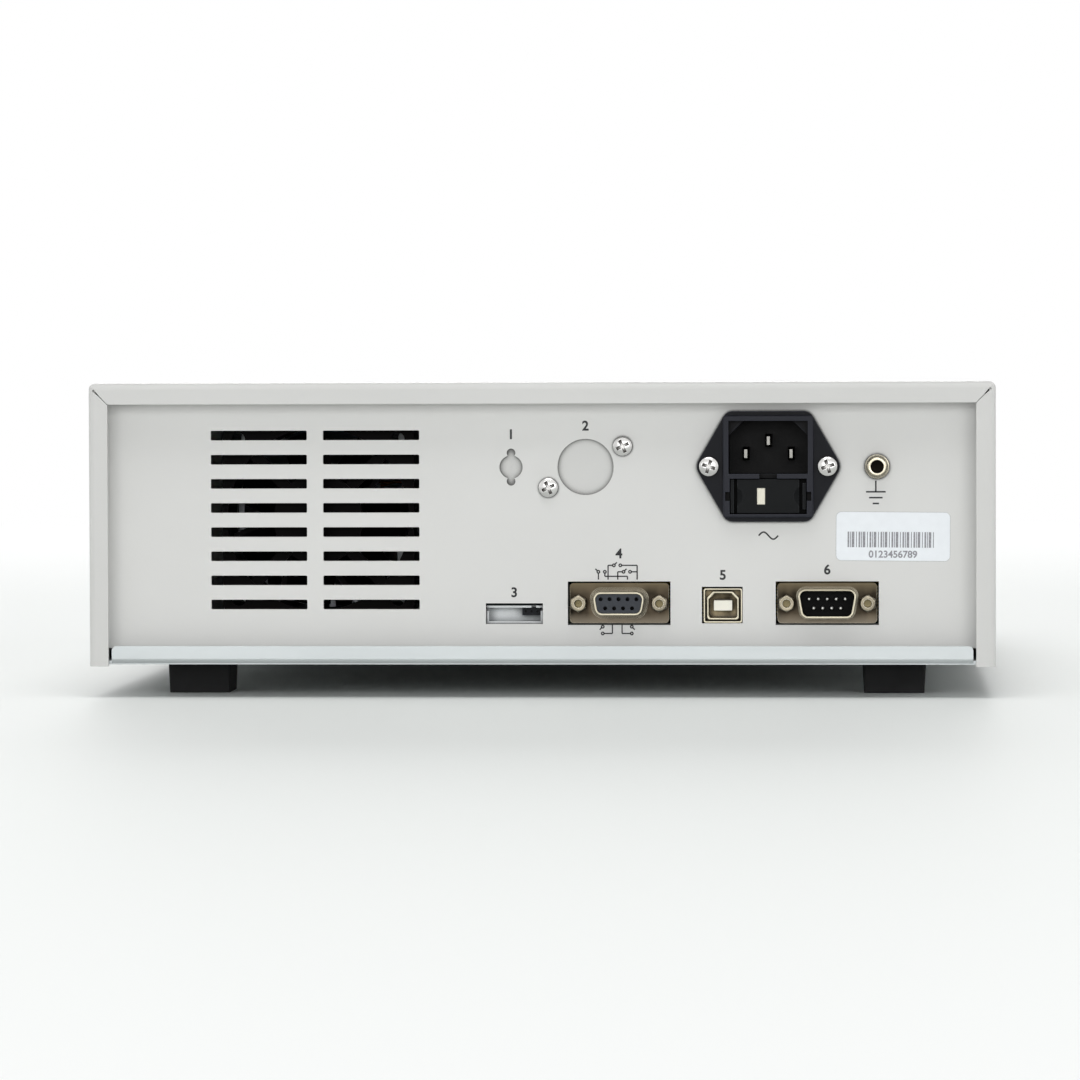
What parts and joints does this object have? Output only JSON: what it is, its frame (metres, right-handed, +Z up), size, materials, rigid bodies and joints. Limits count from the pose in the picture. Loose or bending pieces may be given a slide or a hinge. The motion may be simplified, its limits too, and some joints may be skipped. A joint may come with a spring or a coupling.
{
  "type": "hipot tester",
  "caption": "Low bench tester for insulation strength: sheet-steel case on feet, display, keys and output sockets in front, vents, mains inlet and data ports at the rear.",
  "frame": {"origin": "on the table, under the middle of the box that holds the part", "axes": "+Z up, the front with the display faces -Y, the rear panel faces +Y, +X to the right seen from the front"},
  "size_m": [0.28, 0.37, 0.0972],
  "materials": {
    "cover_paint": "fine-textured light grey powder coat",
    "zinc_plate": "bright zinc plated",
    "bezel_plastic": "fine matt",
    "front_overlay": "matt overlay on a flat plate",
    "foot_rubber": "matt",
    "screw_steel": "bright plated",
    "black_plastic": "fine matt",
    "insert_plastic": "matt",
    "nickel": "satin nickel plated",
    "white_plastic": "satin",
    "cream_plastic": "matt",
    "fuse_glass": "clear",
    "circuit_board": "solder mask",
    "core_steel": "varnished laminations",
    "copper_winding": "enamelled wire under tape",
    "clamp_steel": "plated",
    "sink_aluminium": "extruded",
    "display_metal": "satin",
    "display_glass": "dark gloss",
    "key_plastic": "fine matt",
    "enter_plastic": "fine matt",
    "power_plastic": "fine matt",
    "start_plastic": "satin",
    "stop_plastic": "satin",
    "red_insulator": "satin",
    "black_insulator": "satin",
    "contact_brass": "bright",
    "lamp_lens": "clear red, unlit"
  },
  "bodies": {
    "case": {"top_cover": "cover_paint", "rear_panel": "cover_paint", "blank_plate": "cover_paint", "bottom_chassis": "zinc_plate", "fan_bracket": "zinc_plate", "front_bezel": "bezel_plastic", "front_plate": "front_overlay", "feet": "foot_rubber", "case_screws": "screw_steel", "panel_screws": "screw_steel", "inlet_body": "black_plastic", "fan_frame": "black_plastic", "panel_switches": "black_plastic", "signal_block": "black_plastic", "serial_insert": "black_plastic", "terminal_nuts": "black_plastic", "handler_insert": "insert_plastic", "inlet_pins": "nickel", "ground_terminal": "nickel", "ground_nut": "nickel", "handler_shell": "nickel", "serial_shell": "nickel", "serial_pins": "nickel", "jackscrews": "nickel", "usb_shell": "nickel", "board_standoffs": "nickel", "usb_tongue": "white_plastic", "signal_shroud": "white_plastic", "interface_board": "circuit_board", "main_board": "circuit_board", "key_board": "circuit_board", "hv_core": "core_steel", "hv_coil": "copper_winding", "mains_toroid": "copper_winding", "toroid_clamp": "clamp_steel", "heat_sink": "sink_aluminium", "lcd_module": "display_metal", "display_window": "display_glass", "hv_terminal": "red_insulator", "rtn_terminal": "black_insulator", "terminal_contacts": "contact_brass", "danger_lamp": "lamp_lens"},
    "fuse_drawer": {"fuse_drawer": "black_plastic", "voltage_tab": "cream_plastic", "fuses": "fuse_glass"},
    "fan_rotor": {"fan_rotor": "black_plastic"},
    "power_button": {"power_button": "power_plastic"},
    "start_button": {"start_button": "start_plastic"},
    "stop_button": {"stop_button": "stop_plastic"},
    "soft_key_1": {"soft_key_1": "key_plastic"},
    "soft_key_2": {"soft_key_2": "key_plastic"},
    "soft_key_3": {"soft_key_3": "key_plastic"},
    "soft_key_4": {"soft_key_4": "key_plastic"},
    "menu_key_1": {"menu_key_1": "key_plastic"},
    "menu_key_2": {"menu_key_2": "key_plastic"},
    "arrow_key_up": {"arrow_key_up": "key_plastic"},
    "arrow_key_down": {"arrow_key_down": "key_plastic"},
    "arrow_key_left": {"arrow_key_left": "key_plastic"},
    "arrow_key_right": {"arrow_key_right": "key_plastic"},
    "enter_key": {"enter_key": "enter_plastic"}
  },
  "joints": [
    {"name": "drawer_slide", "type": "slide", "parent": "case", "child": "fuse_drawer", "axis": [0, 1, 0], "range_m": [0, 0.022]},
    {"name": "fan_spin", "type": "hinge", "parent": "case", "child": "fan_rotor", "pos_m": [0.0704, 0.1565, 0.0547], "axis": [0, 1, 0], "continuous": true},
    {"name": "soft_key_1_press", "type": "slide", "parent": "case", "child": "soft_key_1", "axis": [0, 1, 0], "range_m": [0, 0.0012], "stiffness_N_per_m": 800},
    {"name": "soft_key_2_press", "type": "slide", "parent": "case", "child": "soft_key_2", "axis": [0, 1, 0], "range_m": [0, 0.0012], "stiffness_N_per_m": 800},
    {"name": "soft_key_3_press", "type": "slide", "parent": "case", "child": "soft_key_3", "axis": [0, 1, 0], "range_m": [0, 0.0012], "stiffness_N_per_m": 800},
    {"name": "soft_key_4_press", "type": "slide", "parent": "case", "child": "soft_key_4", "axis": [0, 1, 0], "range_m": [0, 0.0012], "stiffness_N_per_m": 800},
    {"name": "menu_key_1_press", "type": "slide", "parent": "case", "child": "menu_key_1", "axis": [0, 1, 0], "range_m": [0, 0.0012], "stiffness_N_per_m": 800},
    {"name": "menu_key_2_press", "type": "slide", "parent": "case", "child": "menu_key_2", "axis": [0, 1, 0], "range_m": [0, 0.0012], "stiffness_N_per_m": 800},
    {"name": "arrow_key_up_press", "type": "slide", "parent": "case", "child": "arrow_key_up", "axis": [0, 1, 0], "range_m": [0, 0.0012], "stiffness_N_per_m": 800},
    {"name": "arrow_key_down_press", "type": "slide", "parent": "case", "child": "arrow_key_down", "axis": [0, 1, 0], "range_m": [0, 0.0012], "stiffness_N_per_m": 800},
    {"name": "arrow_key_left_press", "type": "slide", "parent": "case", "child": "arrow_key_left", "axis": [0, 1, 0], "range_m": [0, 0.0012], "stiffness_N_per_m": 800},
    {"name": "arrow_key_right_press", "type": "slide", "parent": "case", "child": "arrow_key_right", "axis": [0, 1, 0], "range_m": [0, 0.0012], "stiffness_N_per_m": 800},
    {"name": "enter_key_press", "type": "slide", "parent": "case", "child": "enter_key", "axis": [0, 1, 0], "range_m": [0, 0.0012], "stiffness_N_per_m": 800},
    {"name": "power_button_press", "type": "slide", "parent": "case", "child": "power_button", "axis": [0, 1, 0], "range_m": [0, 0.0025], "stiffness_N_per_m": 800},
    {"name": "start_button_press", "type": "slide", "parent": "case", "child": "start_button", "axis": [0, 1, 0], "range_m": [0, 0.0025], "stiffness_N_per_m": 800},
    {"name": "stop_button_press", "type": "slide", "parent": "case", "child": "stop_button", "axis": [0, 1, 0], "range_m": [0, 0.0025], "stiffness_N_per_m": 800}
  ]
}
